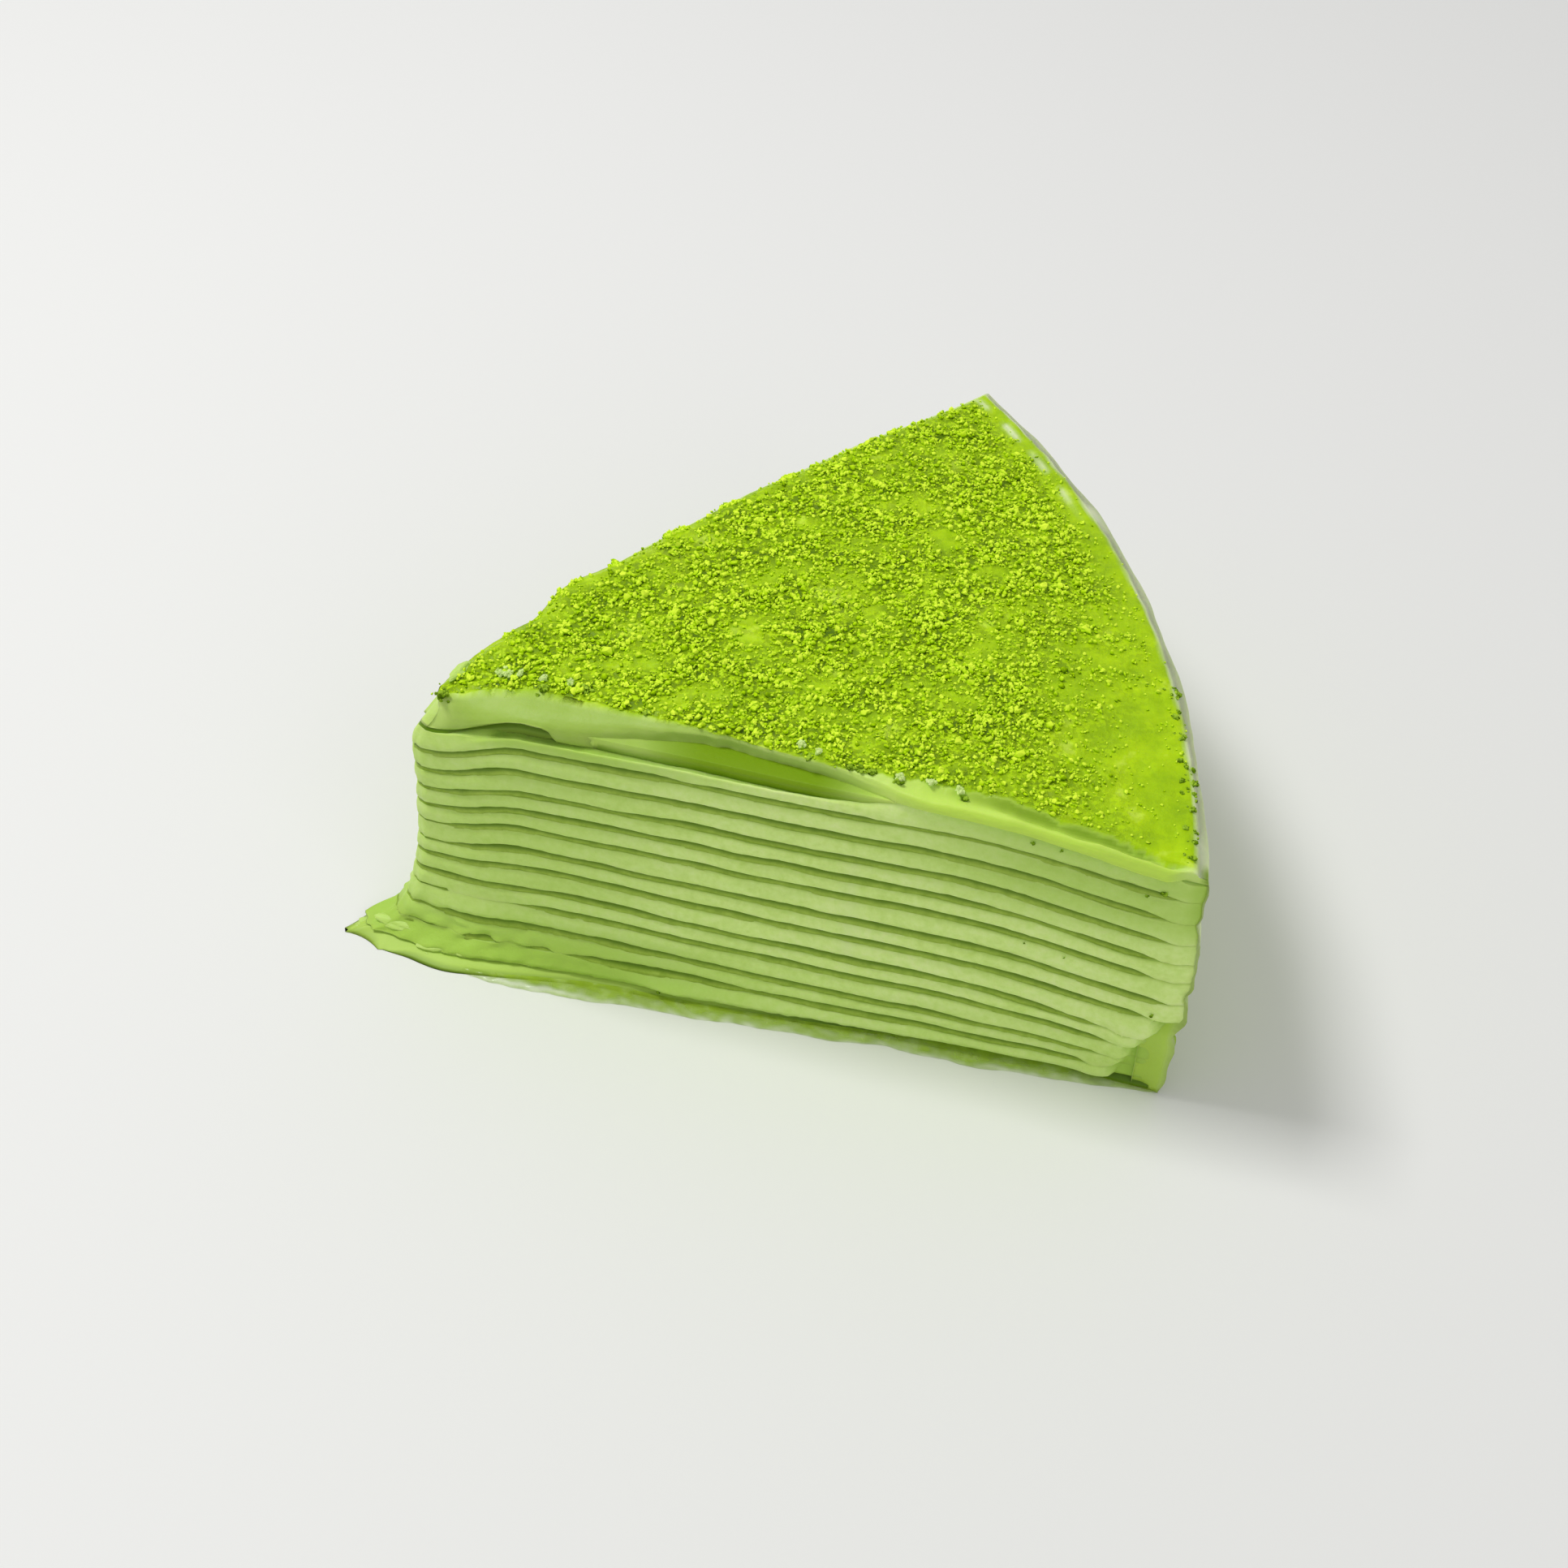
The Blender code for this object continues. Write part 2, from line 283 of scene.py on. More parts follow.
def settle(along, across, z, outward=0.0):
    """The place of a plan point once the cake has slumped. outward moves a point of a
    cut face out of its face."""
    angle = across * HALF_ANGLE
    outermost = across * across
    reach = along + RIM_CORNER * outermost * smooth(along, 30 * MM, SLICE_LENGTH)
    point = Vector((reach * math.cos(angle), reach * math.sin(angle), z))
    near_tip = 1 - smooth(along, 0, NOSE_LENGTH)
    pointed = 0.8 * near_tip * math.exp(-z / (2 * MM))
    pinched = 0.45 * math.exp(-max(0.0, along) / (2.8 * MM))
    point.y += across * NOSE_HALF_WIDTH * (1 - pointed) * (1 - pinched)
    point.x += NOSE_ROUNDING * outermost * near_tip
    side = -1 if across < 0 else 1
    slump = back_slump(along, z) if side > 0 else front_slump(along, z)
    face_normal = Vector((-math.sin(HALF_ANGLE), side * math.cos(HALF_ANGLE), 0.0))
    point += face_normal * (slump * outermost)
    if abs(across) > AT_FACE:
        point += face_normal * outward
    point.x -= tip_lean(along, z) + ORIGIN_FROM_TIP
    point.y += ORIGIN_TO_FRONT
    return point


# Materials


def hex_colour(code):
    """An sRGB hex colour as linear RGBA."""
    values = [int(code[place : place + 2], 16) / 255 for place in (1, 3, 5)]
    linear = [v / 12.92 if v <= 0.04045 else ((v + 0.055) / 1.055) ** 2.4 for v in values]
    return (*linear, 1.0)


def fill(tree, node, inputs):
    """Links a node's sockets, or sets them. Text is an sRGB hex colour."""
    for socket, value in inputs.items():
        if isinstance(value, bpy.types.NodeSocket):
            tree.links.new(value, node.inputs[socket])
        else:
            value = hex_colour(value) if isinstance(value, str) else value
            node.inputs[socket].default_value = value


def add(tree, kind, inputs=None, stops=None, **settings):
    """One node with its settings, its links and, for a ramp, its colour stops."""
    node = tree.nodes.new("ShaderNode" + kind)
    for setting, value in settings.items():
        setattr(node, setting, value)
    fill(tree, node, inputs or {})
    if stops:
        ramp = node.color_ramp
        stops = [(position, hex_colour(code)) for position, code in stops]
        ramp.elements[0].position, ramp.elements[0].color = stops[0]
        ramp.elements[1].position, ramp.elements[1].color = stops[-1]
        for position, colour in stops[1:-1]:
            ramp.elements.new(position).color = colour
    return node


def new_material(name):
    """A material with its tree and the object's own coordinates."""
    material = bpy.data.materials.new(name)
    material.use_nodes = True
    tree = material.node_tree
    return material, tree, add(tree, "TexCoord").outputs["Object"]


def surface(material, inputs):
    """Gives the material's shader its values."""
    tree = material.node_tree
    fill(tree, tree.nodes["Principled BSDF"], inputs)
    return material


def per_metre(millimetres):
    """Noise scale for a pattern of this many millimetres."""
    return 1 / (millimetres * MM)


def whipped_cream():
    """Whipped green tea cream, cut with a knife: soft satin, paler where it is thick, with
    faint mottling of 1 mm and drag marks along the cut. It turns a darker, greener cream
    where it is soaked, and the same colour is painted as shade on parts of the front cut."""
    material, tree, place = new_material("whipped green tea cream")
    stretch = {"Rotation": (0.0, 0.0, HALF_ANGLE), "Scale": (0.25, 1.0, 1.0)}
    drag = add(tree, "Mapping", {"Vector": place, **stretch}).outputs[0]
    coarse = {"Vector": drag, "Scale": per_metre(6.0), "Detail": 3.0}
    cloudy = add(tree, "TexNoise", coarse).outputs[0]
    fine = {"Vector": place, "Scale": per_metre(1.1), "Detail": 3.0, "Roughness": 0.6}
    mottled = add(tree, "TexNoise", fine).outputs[0]
    both = {"Factor": 0.5, 2: cloudy, 3: mottled}
    shade = add(tree, "Mix", both, data_type="FLOAT").outputs[0]
    creams = [(0.30, "#c8e874"), (0.50, "#d8f48c"), (0.72, "#e6fba6")]
    colour = add(tree, "ValToRGB", {"Fac": shade}, creams).outputs[0]
    # The first weight mixes in a darker green, for soaked cream and for painted shade on
    # the front cut; the second a pale smear
    for name, over in (("soaked_and_shade", "#abd04f"), ("smeared", "#dcf2a0")):
        weight = add(tree, "Attribute", attribute_name=name).outputs["Fac"]
        layers = {"Factor": weight, 6: colour, 7: over}
        colour = add(tree, "Mix", layers, data_type="RGBA").outputs[2]
    curd = {"Vector": place, "Scale": per_metre(0.6), "Detail": 4.0, "Roughness": 0.6}
    grain = add(tree, "TexNoise", curd).outputs[0]
    relief = {"Height": grain, "Strength": 0.5, "Distance": 0.16 * MM}
    return surface(
        material,
        {
            "Base Color": colour,
            "Roughness": 0.48,
            "Specular IOR Level": 0.3,
            "Subsurface Weight": 0.2,
            "Subsurface Radius": (1.0, 1.4, 0.4),
            "Subsurface Scale": 1.0 * MM,
            "Normal": add(tree, "Bump", relief).outputs[0],
        },
    )


def griddled_crepe():
    """Thin green tea crepe, griddled: its cut edge olive, its griddled skin darker, with
    browning freckles of 1 mm, and smeared with cream where it lies open. The skin's dark
    colour is also painted over the upper part of a cut edge, as shade under the cream
    above."""
    material, tree, place = new_material("griddled green tea crepe")
    spots = {"Vector": place, "Scale": per_metre(1.2), "Detail": 4.0, "Roughness": 0.65}
    freckles = add(tree, "TexNoise", spots).outputs[0]
    olives = [(0.30, "#7fa020"), (0.52, "#97b636"), (0.75, "#a9c64a")]
    colour = add(tree, "ValToRGB", {"Fac": freckles}, olives).outputs[0]
    # The skin weight also carries painted shade on the cut edges
    for name, over in (("skin", "#5f8208"), ("creamed", "#bddd5c")):
        weight = add(tree, "Attribute", attribute_name=name).outputs["Fac"]
        layers = {"Factor": weight, 6: colour, 7: over}
        colour = add(tree, "Mix", layers, data_type="RGBA").outputs[2]
    relief = {"Height": freckles, "Strength": 0.4, "Distance": 0.1 * MM}
    return surface(
        material,
        {
            "Base Color": colour,
            "Roughness": 0.5,
            "Specular IOR Level": 0.3,
            "Normal": add(tree, "Bump", relief).outputs[0],
        },
    )


def dusted_frosting():
    """Whipped cream frosting under a skin of green tea powder that has drawn moisture:
    vivid and smooth where it is wet, caked powder with painted shade, deep green, in its
    gaps and painted light on its tops, bare cream where no powder fell, wet and glossy on
    its folded lip, and a deep wet green that also paints shade into the cove, the valley
    and the coat."""
    material, tree, place = new_material("powdered cream frosting")
    weights = {
        name: add(tree, "Attribute", attribute_name=name).outputs["Fac"]
        for name in ("dusted", "caked", "pale", "deep_wet_and_shade", "glossy")
    }
    blots = {"Vector": place, "Scale": per_metre(5.0), "Detail": 4.0, "Roughness": 0.6}
    patches = add(tree, "TexNoise", blots).outputs[0]
    grit = {"Vector": place, "Scale": per_metre(0.7), "Detail": 4.0, "Roughness": 0.65}
    grains = add(tree, "TexNoise", grit).outputs[0]
    steep = {"Value": grains, "From Min": 0.4, "From Max": 0.6}
    crust = add(tree, "MapRange", steep, interpolation_type="SMOOTHSTEP").outputs[0]
    skins = [(0.28, "#92ba00"), (0.48, "#a8d000"), (0.62, "#b6dc02"), (0.74, "#d2f04e")]
    wet_skin = add(tree, "ValToRGB", {"Fac": patches}, skins).outputs[0]
    creams = [(0.3, "#c2e070"), (0.5, "#cae77a"), (0.7, "#d4ed88")]
    colour = add(tree, "ValToRGB", {"Fac": patches}, creams).outputs[0]
    # Painted shade in the gaps of the caked powder and painted light on its tops, following
    # the same relief as the bump
    gap_shade_and_lit_tops = {"Factor": crust, 6: "#3e6000", 7: "#c0e80c"}
    gap_shade = add(tree, "Mix", gap_shade_and_lit_tops, data_type="RGBA").outputs[2]
    for name, over in (
        ("dusted", wet_skin),
        ("caked", gap_shade),
        ("pale", "#edf4d2"),
        ("glossy", "#c8ea5a"),
        ("deep_wet_and_shade", "#7a9d0c"),
    ):
        layers = {"Factor": weights[name], 6: colour, 7: over}
        colour = add(tree, "Mix", layers, data_type="RGBA").outputs[2]
    shine = {"Factor": weights["glossy"], 2: 0.45, 3: 0.16}
    soft = add(tree, "Math", {0: grains, 1: 0.25}, operation="MULTIPLY").outputs[0]
    lumps = {"Factor": weights["caked"], 2: soft, 3: crust}
    height = add(tree, "Mix", lumps, data_type="FLOAT").outputs[0]
    relief = {"Height": height, "Strength": 0.8, "Distance": 0.3 * MM}
    return surface(
        material,
        {
            "Base Color": colour,
            "Roughness": add(tree, "Mix", shine, data_type="FLOAT").outputs[0],
            "Specular IOR Level": 0.2,
            "Subsurface Weight": 0.15,
            "Subsurface Radius": (1.0, 1.4, 0.3),
            "Subsurface Scale": 0.8 * MM,
            "Normal": add(tree, "Bump", relief).outputs[0],
        },
    )


def tea_powder(name, dark, middle, light):
    """Green tea powder caked into crumbs: dead matt, its colour read off the crumbs' tones,
    which carry painted light on their tops and painted shade, deep green, low down and
    between them."""
    material, tree, place = new_material(name)
    tone_and_light = add(tree, "Attribute", attribute_name="tone_and_light").outputs["Fac"]
    fine = {"Vector": place, "Scale": per_metre(0.25), "Detail": 2.0}
    dust = add(tree, "TexNoise", fine).outputs[0]
    both = {"Factor": 0.3, 2: tone_and_light, 3: dust}
    shade = add(tree, "Mix", both, data_type="FLOAT").outputs[0]
    greens = [(0.15, dark), (0.48, middle), (0.85, light)]
    colour = add(tree, "ValToRGB", {"Fac": shade}, greens).outputs[0]
    return surface(
        material, {"Base Color": colour, "Roughness": 0.9, "Specular IOR Level": 0.05}
    )


def wet_smear_film():
    """Cream and tea thinned with water, smeared out along the foot by the knife: a wet
    see-through film, thinnest at its edge."""
    material, tree, place = new_material("wet cream smear")
    thin = add(tree, "Attribute", attribute_name="thin").outputs["Fac"]
    blots = {"Vector": place, "Scale": per_metre(2.5), "Detail": 4.0}
    patches = add(tree, "TexNoise", blots).outputs[0]
    greens = [(0.3, "#a6c62c"), (0.52, "#b6d644"), (0.72, "#cde684")]
    clear = {"Factor": thin, 2: 0.95, 3: 0.12}
    return surface(
        material,
        {
            "Base Color": add(tree, "ValToRGB", {"Fac": patches}, greens).outputs[0],
            "Roughness": 0.1,
            "Alpha": add(tree, "Mix", clear, data_type="FLOAT").outputs[0],
            "Specular IOR Level": 0.6,
        },
    )


# Pieces


def plan_block(name, stations, across_steps, rows):
    """A block over the plan. A vertex holds along, across and its share of the block's
    height, until its own function places it."""
    last = len(stations) - 1
    bpy.ops.object.select_all(action="DESELECT")
    bpy.ops.mesh.primitive_grid_add(
        x_subdivisions=last, y_subdivisions=across_steps, size=2
    )
    block = bpy.context.object
    block.name = name
    block.data.name = name
    bpy.ops.object.mode_set(mode="EDIT")
    bpy.ops.mesh.select_all(action="SELECT")
    step_up = {"value": (0, 0, 1 / rows)}
    for _ in range(rows):
        bpy.ops.mesh.extrude_region_move(TRANSFORM_OT_translate=step_up)
    bpy.ops.mesh.select_all(action="SELECT")
    bpy.ops.mesh.normals_make_consistent(inside=False)
    bpy.ops.object.mode_set(mode="OBJECT")
    for vertex in block.data.vertices:
        vertex.co.x = stations[round((vertex.co.x + 1) / 2 * last)]
    return block


def finish_piece(piece, material, slot, *nodes):
    piece.data.materials.clear()
    piece.data.materials.append(material)
    piece.data.shade_smooth()
    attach(piece, "root")
    if nodes:
        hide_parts(*nodes)


def cut_places():
    """Places along a cut, closer together at the tip."""
    end = SLICE_LENGTH - COAT_THICKNESS + 0.1 * MM
    near = [TIP_PART * step / TIP_STEPS for step in range(TIP_STEPS)]
    rest = end - TIP_PART
    far = [TIP_PART + rest * step / CUT_STEPS for step in range(CUT_STEPS + 1)]
    return near + far


def line_end(number, side):
    """How far from the tip the edge of a crepe shows at a cut."""
    if side < 0 and 1 < number < TOP_CREPE:
        return LINE_ENDS[number - 2] * MM
    return (85.6 + 1.2 * uneven(number * 1.7, side * 4.0, 6.0)) * MM


def reach_corner(along, across, level, inside):
    """The layers run out over the coat's edge at the cuts, and stop this far inside its
    outer face."""
    z = sagged(level, SLICE_LENGTH)
    end = SLICE_LENGTH + coat_outward(across, z) - inside
    inner = SLICE_LENGTH - COAT_THICKNESS
    at_cut = smooth(abs(across), 0.76, 1.0)
    return along + (end - inner) * at_cut * smooth(along, 70 * MM, inner)


def half_width(along):
    return NOSE_HALF_WIDTH + along * math.sin(HALF_ANGLE)


def pulled_in(along, across, depth):
    """across, with the front edge moved in by a depth and the back edge left."""
    return across + depth / half_width(along) * (1 - across) / 2


def knife_drag(number, along, side):
    """How far the knife has dragged cream over a crepe's edge: 0 not, 1 over all of it."""
    patchy = 0.3 * smooth(uneven(along / (9 * MM), number * 1.6, 5.0 * side), 0.1, 0.6)
    at_tip = falling(along, 1.0, 4.5)
    patchy += 0.7 * at_tip * smooth(uneven(number * 2.7, 3.0, side), -0.3, 0.3)
    end = line_end(number, side)
    closed = smooth(along, end - 3.4 * MM, end + 0.8 * MM)
    torn = 0.0
    if side < 0 and number == 4:
        torn = falling(along, 9, 15) * rising(along, 2.6, 3.4)
    if side < 0 and number == 2:
        gaps = smooth(uneven(along / (3.1 * MM), 0.0, 9.0), -0.25, 0.25)
        torn = (0.25 + 0.75 * gaps) * falling(along, 15, 24)
    if side < 0 and number == TOP_CREPE - 1:
        torn = 0.35 * rising(along, 50, 56) * falling(along, 68, 76)
    if side < 0 and number == TOP_CREPE:
        torn = rising(along, 50, 58) + falling(along, 2.6, 6.5)
    return clamp(max(closed, patchy + torn))


def cut_roughness(along, across, z):
    """Fine unevenness that the knife leaves on the cut."""
    broad = uneven(along / (7 * MM), z / (4 * MM), across * 3.0)
    fine = uneven(along / (1.6 * MM), z / (0.7 * MM), across * 7.0)
    return (0.2 * broad + 0.06 * fine) * MM


def torn_corner(along, number, share):
    """Where a cream's end has come away at the front corner of the rim."""
    ragged = uneven(number * 2.3, share * 1.5, 3.0)
    rounded = 1 - (2 * share - 1) ** 2
    start = CREAM_ENDS[number - 1] * MM + (0.5 * rounded + 0.35 * ragged) * MM
    return smooth(along, start, start + 0.9 * MM)


def cut_marks(along, level, side):
    """Curls and dents that stand out of the cut or go into it."""
    if side > 0:
        return 0.0
    marks = 0.0
    for centre, height, wide, high, out in CUT_MARKS:
        across = (along / MM - centre) / wide
        upward = (level / MM - height) / high
        marks += out * MM * math.exp(-across * across - upward * upward)
    return marks


def set_attribute(piece, name, values):
    layer = piece.data.attributes.new(name, "FLOAT", "POINT")
    layer.data.foreach_set("value", values)


def crepe_layer(number, middle, material):
    """One crepe, set back between its creams, its upper edge furthest."""
    name = f"crepe_sheet_{number:02d}"
    piece = plan_block(name, cut_places(), 24 if number == 1 else 8, 3)
    half = CREPE_THICKNESS / 2
    count = len(piece.data.vertices)
    skin = np.zeros(count)
    creamed = np.zeros(count)
    for vertex in piece.data.vertices:
        along, across, share = vertex.co
        side = -1 if across < 0 else 1
        at_cut = abs(across) > AT_FACE or along < TINY
        along = reach_corner(along, across, middle, CREPE_INSIDE_COAT)
        level = middle + (2 * share - 1) * (half + (0.15 * MM if at_cut else 0.0))
        if number == TOP_CREPE and at_cut and side < 0:
            level -= 0.5 * MM * (1 - share) * slotted(along)
        z = sagged(level, along)
        z += wave(along, across, z)
        ragged = uneven(along / (1.3 * MM), number * 3.1, across * 2.0)
        outward = -CREPE_RECESS - 0.2 * MM * share + 0.08 * MM * ragged
        end = line_end(number, side)
        outward -= 1.9 * MM * smooth(along, end, end + 1.5 * MM)
        outward += cut_roughness(along, across, z)
        outward += cut_marks(along, level, side)
        # At a cut, the skin's dark colour is painted over the upper part of the edge as
        # shade under the cream above, and the lower part is lighter
        skin[vertex.index] = smooth(share, 0.25, 0.8) if at_cut else 1.0
        creamed[vertex.index] = 0.4 * (1 - smooth(share, 0.05, 0.5)) if at_cut else 0.0
        if number == TOP_CREPE:
            # It stands back under the slot and the cove
            depth = (0.5 + 1.6 * share) * MM * rising(along, 1.5, 4)
            depth += 2.0 * MM * smooth(along, SLOT_END, SLOT_END + 1.0 * MM)
            across = pulled_in(along, across, max(depth, 0.4 * MM))
            # Its cut edge takes the dark skin colour too, as painted shade under the slot
            # and the cove
            skin[vertex.index] = 1.0
        if number == 1:
            # A flap of it lies past the tip, and its foot is smeared with cream
            z = max(0.0, z * (1 - 0.4 * clamp((abs(across) - 0.7) / 0.3)))
            flap = falling(along, 2.5, 5)
            tucked = (1 - flap) * falling(along, 74, 84)
            under = 0.5 + 0.8 * rising(along, 10, 24) if side < 0 else 0.3
            outward = -0.3 * MM - under * tucked * MM
            lump = uneven(along / (1.2 * MM), across * 4, 2.0)
            across *= math.sqrt(clamp((along + 0.05 * MM) / (2.5 * MM)))
            round_flap = 1 - across**4 if along > TINY else 0.0
            z += flap * share * (0.3 + 0.5 * lump) * MM
            z = max(0.0, z) * (1 - flap * (1 - max(0.15, round_flap)))
            smeared_foot = 0.85 * smooth(share, 0.1, 0.6) * falling(along, 30, 52)
            creamed[vertex.index] = max(0.6 * flap * smooth(lump, -0.6, 0.0), smeared_foot)
            skin[vertex.index] = 1.0
        if along < TINY:
            along -= outward * 0.5 - (0.3 * MM if number == 1 else 0.0)
        vertex.co = settle(along, across, z, outward)
    set_attribute(piece, "skin", skin)
    set_attribute(piece, "creamed", creamed)
    finish_piece(piece, material, "crepe", f"crepe_{number:02d}")


def cream_profile(share):
    """A cream's edge at the cut, as mm outward: a lip that hangs over the crepe below,
    and a slope that meets the crepe above."""
    lower = smooth(share, 0.0, 0.2)
    upper = smooth(share, 0.6, 1.0)
    return -0.1 + 0.38 * lower - 0.3 * upper * upper


def cream_layer(number, low, high, material):
    """One cream, from crepe to crepe, dragged over the crepes' edges here and there."""
    name = f"cream_layer_{number:02d}"
    piece = plan_block(name, cut_places(), 24 if number == 1 else 8, 9)
    low -= GAP
    high += GAP
    soaked_and_shade = np.zeros(len(piece.data.vertices))
    smeared = np.zeros(len(piece.data.vertices))
    for vertex in piece.data.vertices:
        along, across, share = vertex.co
        share = 0.5 - 0.5 * math.cos(math.pi * share)
        side = -1 if across < 0 else 1
        at_cut = abs(across) > AT_FACE or along < TINY
        level = low + (high - low) * share
        along = reach_corner(along, across, level, CREAM_INSIDE_COAT)
        above = below = 0.0
        if at_cut:
            above = knife_drag(number + 1, along, side)
            below = knife_drag(number, along, side) if number > 1 else 0.0
            ragged = uneven(along / (0.9 * MM), number * 2.3, across * 5.0)
            wander = uneven(along / (5 * MM), number * 1.9, across * 2.0)
            thin = (0.07 * ragged + 0.12 * wander - 0.03) * MM
            reach = CREPE_THICKNESS * 0.6
            if share > 0.5:
                level += (thin + above * reach) * (2 * share - 1)
            else:
                level -= (thin + below * reach) * (1 - 2 * share)
            if number == TOP_CREAM and side < 0 and share > 0.5:
                level -= 0.9 * MM * lowered(along) * (2 * share - 1) ** 2
                level += 0.7 * MM * folded(along) * (2 * share - 1) ** 2
        z = sagged(level, along)
        z += wave(along, across, z)
        shape = cream_profile(share)
        filled = above if share > 0.5 else below
        shape += (0.22 - shape) * 0.8 * max(filled, 0.6 * falling(along, 0, 3))
        swell = uneven(along / WAVE_LENGTH, across, z / (2.5 * MM))
        outward = (shape + 0.25 * swell) * MM
        outward += cut_roughness(along, across, z)
        outward += cut_marks(along, level, side)
        lumps = uneven(along / (1.7 * MM), z / (1.1 * MM), 8.0)
        outward += 0.5 * MM * lumps * falling(z, 4, 9) * falling(along, 10, 26)
        if number == TOP_CREAM and side < 0 and share > 0.5:
            outward -= 0.6 * MM * folded(along) * (2 * share - 1) ** 2
        torn = torn_corner(along, number, share) if side < 0 and number < 6 else 0.0
        outward -= 1.0 * MM * torn
        past_rim = smooth(along, SLICE_LENGTH - 1.2 * MM, SLICE_LENGTH + 1.0 * MM)
        outward -= 0.5 * MM * past_rim
        if number == 1:
            tucked = (1 - smooth(share, 0.0, 0.45)) * rising(along, 2, 9)
            outward -= 0.4 * MM * (tucked * falling(along, 74, 84))
        low_wet = falling(z, 2, 13) * (1 - 0.75 * rising(along, 18, 50))
        corner_wet = rising(along, 84.5, 88.5) * rising(z, 25, 33)
        # Darker along each cream's top edge at a cut, under the crepe above
        top_edge_darker = 0.6 * smooth(share, 0.86, 1.0) * (1.0 if at_cut else 0.0)
        # Painted shade: darker near the top of the front cut towards the tip, all over its
        # left end, and over its upper right part
        painted_shade = 0.85 * rising(z, 33, 37) * falling(along, 18, 46)
        painted_shade = max(painted_shade, 0.45 * falling(along, 12, 40))
        painted_shade = max(painted_shade, 0.6 * rising(along, 50, 72) * rising(z, 24, 32))
        soaked_and_shade[vertex.index] = max(low_wet, torn, corner_wet, top_edge_darker, painted_shade)
        streak = uneven(along / (0.5 * MM), z / (8 * MM), 5.0)
        from_stripe = (along - DRAG_STRIPE) / (0.9 * MM)
        stripe = math.exp(-(from_stripe**2)) * (0.55 + 0.5 * streak)
        smeared[vertex.index] = clamp(stripe * rising(z, 7, 14) * falling(z, 24, 32))
        if along < TINY:
            along -= outward * 0.6
        vertex.co = settle(along, across, max(0.1 * MM, z), outward)
    set_attribute(piece, "soaked_and_shade", soaked_and_shade)
    set_attribute(piece, "smeared", smeared)
    finish_piece(piece, material, "cream", f"cream_{number:02d}")


def front_distance(along, across):
    """Distance from the front edge of the top."""
    return (1 + across) * half_width(along)


def back_distance(along, across):
    return (1 - across) * half_width(along)


def powder_edge(along):
    """Distance from the front edge at which the powder starts."""
    ragged = 0.25 * uneven(along / (1.6 * MM), 1.0, 1.0)
    ragged += 0.2 * uneven(along / (5 * MM), 2.0, 1.0)
    return (between(POWDER_EDGE, along / MM) + ragged) * MM


def wall_inset(along):
    """How far the top of the frosting stands back from the front cut."""
    return powder_edge(along) * falling(along, 46, 60)


def folded(along):
    """How much of a folded lip the frosting has at the front cut."""
    return rising(along, 46, 62) * falling(along, 84, 87)


def powder_height(point):
    """Height of the powder's lumps over a point of the top, less room for the crumbs."""
    flat = Vector((point.x, point.y, 0.0))
    lumps = noise.noise(flat / POWDER_LUMP)
    drifts = noise.noise(flat / (4 * POWDER_LUMP) + Vector((7.0, 3.0, 0.0)))
    small = noise.noise(flat / (1.1 * MM))
    height = POWDER_RELIEF * max(0.0, 0.35 + 0.9 * lumps + 0.4 * drifts)
    return 0.75 * height + 0.12 * MM * small - CRUMB_ROOM


def top_level(along, across):
    """The height of the top before its powder."""
    swell = TIP_SWELL * falling(along, 0.5, 11)
    return sagged(CAKE_HEIGHT, along) + swell - edge_drop(along, across)


def slotted(along):
    """How far the slot under the frosting is open: it widens to its round end."""
    round_end = math.sqrt(clamp((SLOT_END - along) / (1.3 * MM)))
    return rising(along, 1.5, 9) * round_end


def lowered(along):
    """How far the uppermost cream's edge has sunk under the slot and the cove."""
    return rising(along, 3, 10) * falling(along, 46, 57)


def coved(along):
    """How deep the cove under the frosting is, from the slot's end to the lip."""
    return rising(along, 15.5, 34) * falling(along, 46, 57)


def edge_drop(along, across):
    """How far the top falls towards its edges, with a valley behind the folded lip."""
    front = front_distance(along, across)
    fold = folded(along)
    edge = between(POWDER_EDGE, along / MM) * MM
    drop = 0.2 * MM * falling(front - wall_inset(along), 0, 0.8) * (1 - fold)
    deepest = (front - 0.6 * edge) / (0.34 * edge)
    depth = 0.3 + 0.65 * rising(along, 60, 70)
    drop += fold * depth * MM * math.exp(-deepest * deepest)
    drop += fold * 0.45 * MM * (1 - smooth(front, 0.1 * MM, 1.1 * edge))
    back = BACK_DROP * falling(back_distance(along, across), 0, 1.5)
    rim = RIM_DROP * smooth(along, SLICE_LENGTH - 1.5 * MM, SLICE_LENGTH)
    return max(drop, back, rim)


def coat_outward(across, z):
    """The coat is fullest at mid height, with ripples that the crepe ends push out and
    lobes at the front corner."""
    share = clamp(z / CAKE_HEIGHT)
    ripple = uneven(across * 4, z / (5 * MM), 2.0)
    fine = uneven(across * 14, z / (1.8 * MM), 5.0)
    lobes = 0.0
    for height, out in COAT_LOBES:
        near = (z / MM - height) / 1.3
        lobes += out * MM * math.exp(-near * near)
    lobes *= 1 - smooth(across, -0.97, -0.75)
    outward = COAT_BELLY * math.sin(math.pi * share) ** 0.8 + COAT_RIPPLE * ripple
    return outward + lobes + (0.12 * fine - 0.12) * MM


